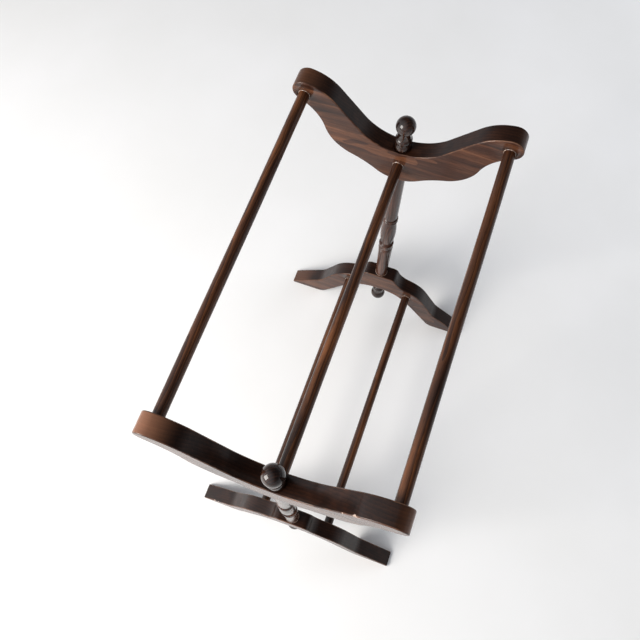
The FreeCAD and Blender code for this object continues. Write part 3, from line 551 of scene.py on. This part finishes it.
def board_mesh(node, finish):
    """A board's mesh with its shading evened and its chips broken out to bare wood."""
    low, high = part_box(node)
    mesh = finish_mesh(merged_copy(node), node + "_board", BOARD_CORNER)
    board = bpy.data.objects.new(node + "_draft", mesh)
    bpy.context.scene.collection.objects.link(board)
    mesh.materials.append(finish)
    cutters = []
    for number, (place, side, along, half_long, bite) in enumerate(CHIPS):
        if place != node:
            continue
        face = low.x if side < 0 else high.x
        top = top_of(node, face - side * CHIP_INSIDE, along)
        spot = Vector((face + side * CHIP_OUT, along, top + CHIP_UP))
        cutter = chip_cutter(spot, (bite, half_long, bite * CHIP_FLATNESS), number)
        cutter.data.materials.append(bare_wood)
        cut = board.modifiers.new("chip", "BOOLEAN")
        cut.operation = "DIFFERENCE"
        cut.solver = "EXACT"
        cut.material_mode = "TRANSFER"
        cut.object = cutter
        cutters.append(cutter)
    weight = board.modifiers.new("even", "WEIGHTED_NORMAL")
    weight.keep_sharp = True
    finished = bpy.data.meshes.new_from_object(
        board.evaluated_get(bpy.context.evaluated_depsgraph_get()))
    for spare in cutters + [board]:
        bpy.data.objects.remove(spare)
    return finished


def bead_tree():
    """Geometry Nodes: a ring of dried glue and lacquer at each point, none of them even."""
    tree = bpy.data.node_groups.new("glue_beads", "GeometryNodeTree")
    sockets = (("Geometry", "NodeSocketGeometry"), ("Joint Radius", "NodeSocketFloat"),
               ("Bead Size", "NodeSocketFloat"), ("Unevenness", "NodeSocketFloat"),
               ("Ring Turn", "NodeSocketVector"), ("Spin Axis", "NodeSocketVector"),
               ("Seed", "NodeSocketInt"), ("Finish", "NodeSocketMaterial"))
    for label, kind in sockets:
        tree.interface.new_socket(label, in_out="INPUT", socket_type=kind)
    tree.interface.new_socket("Geometry", in_out="OUTPUT", socket_type="NodeSocketGeometry")
    given = add_node(tree, "NodeGroupInput").node.outputs
    circle = add_node(tree, "GeometryNodeCurvePrimitiveCircle", inputs={
        "Resolution": 56, "Radius": given["Joint Radius"]})
    section = add_node(tree, "GeometryNodeCurvePrimitiveCircle", inputs={
        "Resolution": 10, "Radius": given["Bead Size"]})
    ring = add_node(tree, "GeometryNodeCurveToMesh", inputs={
        "Curve": circle, "Profile Curve": section})
    turned = add_node(tree, "GeometryNodeTransform", inputs={
        "Geometry": ring, "Rotation": given["Ring Turn"]})
    spin = add_node(tree, "FunctionNodeRandomValue", {"data_type": "FLOAT"},
                    {2: 0.0, 3: math.tau, "Seed": given["Seed"]}, out=1)
    spun = add_node(tree, "ShaderNodeVectorMath", {"operation": "SCALE"}, {
        0: given["Spin Axis"], "Scale": spin})
    rings = add_node(tree, "GeometryNodeInstanceOnPoints", inputs={
        "Points": given["Geometry"], "Instance": turned, "Rotation": spun})
    real = add_node(tree, "GeometryNodeRealizeInstances", inputs={"Geometry": rings})
    lumps = add_node(tree, "ShaderNodeTexNoise", {"noise_dimensions": "4D"}, {
        "Vector": add_node(tree, "GeometryNodeInputPosition"),
        "W": given["Seed"], "Scale": 160.0, "Detail": 2.0})
    push = add_node(tree, "ShaderNodeMath", {"operation": "SUBTRACT"}, {0: lumps, 1: 0.5})
    push = add_node(tree, "ShaderNodeMath", {"operation": "MULTIPLY"}, {
        0: push, 1: given["Unevenness"]})
    moved = add_node(tree, "ShaderNodeVectorMath", {"operation": "SCALE"}, {
        0: add_node(tree, "GeometryNodeInputNormal"), "Scale": push})
    uneven = add_node(tree, "GeometryNodeSetPosition", inputs={"Geometry": real, "Offset": moved})
    smooth = add_node(tree, "GeometryNodeSetShadeSmooth", inputs={"Geometry": uneven})
    finished = add_node(tree, "GeometryNodeSetMaterial", inputs={
        "Geometry": smooth, "Material": given["Finish"]})
    add_node(tree, "NodeGroupOutput", inputs={"Geometry": finished})
    return tree


def make_beads(name, joints, radius, size, ring_turn, spin_axis, seed, material):
    """Rings of squeezed-out glue under the lacquer, one at each joint."""
    points = bpy.data.meshes.new(name)
    points.from_pydata(joints, [], [])
    draft = bpy.data.objects.new(name + "_draft", points)
    bpy.context.scene.collection.objects.link(draft)
    nodes = draft.modifiers.new("beads", "NODES")
    nodes.node_group = BEADS
    settings = {"Joint Radius": radius, "Bead Size": size, "Unevenness": size * 1.5,
                "Ring Turn": ring_turn, "Spin Axis": spin_axis, "Seed": seed,
                "Finish": material}
    for item in BEADS.interface.items_tree:
        if item.in_out == "INPUT" and item.name in settings:
            nodes[item.identifier] = settings[item.name]
    mesh = bpy.data.meshes.new_from_object(
        draft.evaluated_get(bpy.context.evaluated_depsgraph_get()))
    bpy.data.objects.remove(draft)
    return new_piece(name, mesh, "root", material)


HAIR = 1e-9                     # metres; closer than this is the same height
SAME_POINT = 1e-7
ON_AXIS = 1e-5                  # a point this near its axis is a pole
TURNED_SEGMENTS = 96
LONGEST_RUN = 8.0 * MM          # longest stretch of a turned piece between two rings of points
EASING = 0.35 * MM              # rounding that sandpaper leaves on a turned corner
DOWEL_SEGMENTS = 64
DOWEL_CHAMFER = 1.0 * MM
DOWEL_STATIONS = 48
DOWEL_WANDER = 0.35 * MM        # how far a dowel strays from straight
DOWEL_OVAL = 0.006              # and from round
BOLT_SEGMENTS = 40
INSERT_SEGMENTS = 48
THREAD_CORNER = 50.0            # degrees; a sharper fold between two faces is a real corner
BOARD_CORNER = 32.0
MACHINE_PITCH = 25.4 / 18 * MM
MACHINE_DEPTH = 0.75 * MM
THREAD_STEP = MACHINE_PITCH / 9
THREAD_FLANK = 1.15             # steepness of a thread's sides
THREAD_CREST = 0.87             # beyond this share of half a pitch the crest is flat
THREAD_BAND = 0.9 * MM          # the machine thread runs where a bolt is this near its thickest
DEEPEST_CUT = 0.6               # of the rod's radius
THINNEST_CORE = 0.25 * MM
SCREW_PITCH = 2.8 * MM
SCREW_DEPTH = 0.9 * MM
INSERT_PITCH = 3.0 * MM
INSERT_DEPTH = 0.7 * MM
INSERT_BORE = 4.0 * MM
LEG_FOOT_RADIUS = 13.5 * MM     # a post where it meets its foot
RAIL_BEAD = 0.75 * MM           # radius of the glue round a dowel
POST_BEAD = 0.7 * MM
CHIP_RAGGED = (0.78, 1.12)
CHIP_INSIDE = 2.5 * MM          # in from the face, past the arris, where the top is read
CHIP_OUT = 0.2 * MM
CHIP_UP = 0.1 * MM
CHIP_FLATNESS = 0.9
# each chip's board, its side (-1 near), its place along Y, half its length and its bite
CHIPS = (
    ("arm_near", -1, -0.119, 8.0 * MM, 3.1 * MM),
    ("arm_near", -1, -0.103, 2.2 * MM, 1.8 * MM),
    ("arm_near", 1, 0.142, 2.6 * MM, 1.8 * MM),
    ("arm_far", 1, -0.066, 3.2 * MM, 1.8 * MM),
    ("foot_near", -1, 0.197, 2.8 * MM, 2.0 * MM),
    ("foot_near", -1, 0.186, 1.8 * MM, 1.8 * MM),
    ("foot_near", 1, -0.095, 2.4 * MM, 1.8 * MM),
    ("foot_far", 1, -0.204, 3.0 * MM, 1.8 * MM),
)
BOARD_SEEDS = (1.0, 5.3, 3.0, 4.0)      # one for each board
# the pith lies so far from a piece's middle: (across, up) for a board, else (X or Z, Y)
BOARD_PITH = (0.34, 0.02)
POST_PITH = (0.03, 0.02)
FINIAL_PITH = (0.02, 0.015)
DOWEL_PITH = (0.03, 0.02)


bare_wood = make_bare_wood()
for node, seed in zip(BOARDS, BOARD_SEEDS):
    low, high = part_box(node)
    # after the turn the board's X is the pattern's X, and its Z is the pattern's Y
    pith = (BOARD_PITH[0] - (low.x + high.x) / 2, -(low.z + high.z) / 2 + BOARD_PITH[1])
    finish = stained_walnut(node, "y", seed, pith, BOARD_FINISH)
    new_piece(node + "_board", board_mesh(node, finish), body_of(node), finish,
              node)
for nodes, first_seed, beside, look in ((POSTS, 7.0, POST_PITH, POST_FINISH),
                                        (FINIALS, 11.0, FINIAL_PITH, FINIAL_FINISH)):
    for number, node in enumerate(nodes):
        pith = (beside[0] - turning_axis(node).x, beside[1])
        finish = stained_walnut(node, "z", first_seed + number, pith, look)
        new_piece(node + "_turned", turned_mesh(node), body_of(node), finish,
                  node)
for number, node in enumerate(RAILS):
    low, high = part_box(node)
    # after the turn the rail's Z is the pattern's X
    pith = (DOWEL_PITH[0] - (low.z + high.z) / 2, DOWEL_PITH[1] - (low.y + high.y) / 2)
    finish = stained_walnut(node, "x", 17.0 + number, pith, DOWEL_FINISH)
    new_piece(node + "_dowel", dowel(node), body_of(node), finish, node)
zinc = turned_metal("zinc_plated_steel", "#b9bcc0", "#cfd1d4", 0.3)
brass = turned_metal("machined_brass", "#b58a45", "#cfa65e", 0.28)
for node in list(frame["nodes"]):
    if node.startswith("hanger_bolt"):
        new_piece(node + "_threaded", threaded_bolt(node), body_of(node), zinc,
                  node)
    if node.startswith("threaded_insert"):
        new_piece(node + "_threaded", threaded_insert(node), body_of(node), brass, node)

BEADS = bead_tree()
lacquer = dried_lacquer()
for level, rails in (("upper", RAILS[:3]), ("lower", RAILS[3:])):
    joints = []
    for rail in rails:
        low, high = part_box(rail)
        radius = (high.z - low.z) / 2
        for board in ("arm_near", "arm_far") if level == "upper" else ("foot_near", "foot_far"):
            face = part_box(board)[1].x if board.endswith("near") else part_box(board)[0].x
            joints.append((face, (low.y + high.y) / 2, (low.z + high.z) / 2))
    make_beads("glue_beads_" + level, joints, radius, RAIL_BEAD, (0.0, math.pi / 2, 0.0),
               (1.0, 0.0, 0.0), 3, lacquer)
joints = [(turning_axis(post).x, 0.0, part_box(foot)[1].z)
          for post, foot in zip(POSTS, ("foot_near", "foot_far"))]
make_beads("glue_beads_posts", joints, LEG_FOOT_RADIUS, POST_BEAD, (0.0, 0.0, 0.0),
           (0.0, 0.0, 1.0), 5, lacquer)


# ---------------------------------------------------------------- studio
def make_floor():
    """A floor painted white, with the faint mottle of a roller."""
    material, tree = new_material("white_painted_floor")
    place = add_node(tree, "ShaderNodeTexCoord", out="Object")
    mottle = add_node(tree, "ShaderNodeTexNoise", inputs={
        "Vector": place, "Scale": 2.5, "Detail": 4.0})
    tint = add_node(tree, "ShaderNodeValToRGB", inputs={"Fac": mottle},
                    stops=((0.3, "#f1f1f0"), (0.7, "#f6f6f6")))
    surface = add_node(tree, "ShaderNodeBsdfPrincipled", inputs={
        "Base Color": tint, "Roughness": 0.65})
    add_node(tree, "ShaderNodeOutputMaterial", inputs={"Surface": surface})
    bpy.ops.mesh.primitive_plane_add(size=14.0)
    floor = bpy.context.object
    floor.name = "studio_floor"
    floor.data.materials.append(material)


def add_light(name, direction, distance, size, radiance, tint="#ffffff"):
    """A rectangular area light, (width, height), that far out from the rack's middle."""
    lamp = bpy.data.lights.new(name, "AREA")
    lamp.shape = "RECTANGLE"
    lamp.size, lamp.size_y = size
    lamp.energy = radiance * math.pi * size[0] * size[1]
    lamp.color = colour(tint)[:3]
    light = bpy.data.objects.new(name, lamp)
    outward = Vector(direction).normalized()
    light.location = RACK_MIDDLE + outward * distance
    light.rotation_euler = (-outward).to_track_quat("-Z", "Y").to_euler()
    bpy.context.scene.collection.objects.link(light)
    return light


def make_world():
    """A dim room, brighter on the window's side."""
    world = bpy.data.worlds.new("studio")
    world.use_nodes = True
    tree = world.node_tree
    tree.nodes.clear()
    heading = add_node(tree, "ShaderNodeTexCoord", out="Generated")
    toward = add_node(tree, "ShaderNodeVectorMath", {"operation": "DOT_PRODUCT"}, {
        0: heading, 1: Vector(WINDOW_SIDE).normalized()}, out="Value")
    glow = add_node(tree, "ShaderNodeMapRange", {"interpolation_type": "SMOOTHSTEP"}, {
        "Value": toward, "From Min": 0.12, "From Max": 1.0,
        "To Min": ROOM_DIM, "To Max": ROOM_BRIGHT})
    rise = add_node(tree, "ShaderNodeSeparateXYZ", inputs={"Vector": heading}, out="Z")
    rise = add_node(tree, "ShaderNodeMath", {"operation": "ABSOLUTE"}, {0: rise})
    walls = add_node(tree, "ShaderNodeMapRange", {"interpolation_type": "SMOOTHSTEP"}, {
        "Value": rise, "From Min": 0.0, "From Max": 0.55, "To Min": WALL_GLOW, "To Max": 0.0})
    strength = add_node(tree, "ShaderNodeMath", {"operation": "ADD"}, {0: glow, 1: walls})
    background = add_node(tree, "ShaderNodeBackground", inputs={
        "Color": colour("#f2f5fa"), "Strength": strength})
    add_node(tree, "ShaderNodeOutputWorld", inputs={"Surface": background})
    bpy.context.scene.world = world


def make_camera():
    """The camera stands over the near end and looks down along the rails."""
    lens = bpy.data.cameras.new("camera")
    lens.sensor_width = 36.0
    lens.lens = CAMERA_LENS
    lens.clip_start = 0.05
    camera = bpy.data.objects.new("camera", lens)
    facing = Matrix.Rotation(math.radians(CAMERA_AZIMUTH), 4, "Z")
    tilt = Matrix.Rotation(math.radians(90.0 - CAMERA_DOWN), 4, "X")
    roll = Matrix.Rotation(math.radians(CAMERA_ROLL), 4, "Z")
    camera.matrix_world = Matrix.Translation(CAMERA_SPOT) @ facing @ tilt @ roll
    bpy.context.scene.collection.objects.link(camera)
    bpy.context.scene.camera = camera


CAMERA_SPOT = Vector((-0.4095, -0.1161, 1.6774))
CAMERA_LENS = 38.7          # millimetres on a 36 mm frame
CAMERA_DOWN = 68.60         # degrees below level
CAMERA_AZIMUTH = -68.71     # turn about Z from looking along +Y
CAMERA_ROLL = -1.53
RACK_MIDDLE = Vector((0.0, 0.0, 0.4))
WINDOW_SIDE = (-0.62, 0.66, 0.42)
WINDOW_SIZE = (1.5, 1.9)
WINDOW_RADIANCE = 13.4
FILL_SIDE = (0.6, -0.75, 0.25)
FILL_SIZE = (2.4, 1.6)
FILL_RADIANCE = 2.4
ROOM_DIM = 0.10
ROOM_BRIGHT = 1.25
WALL_GLOW = 0.5

make_floor()
make_world()
add_light("window", WINDOW_SIDE, 3.0, WINDOW_SIZE, WINDOW_RADIANCE, "#fffaf4")
# light off the far wall: it softens the dark side and is too faint to show in the lacquer
fill = add_light("fill", FILL_SIDE, 3.2, FILL_SIZE, FILL_RADIANCE, "#f4f7ff")
fill.visible_glossy = False
make_camera()
scene = bpy.context.scene
scene.view_settings.view_transform = "Standard"
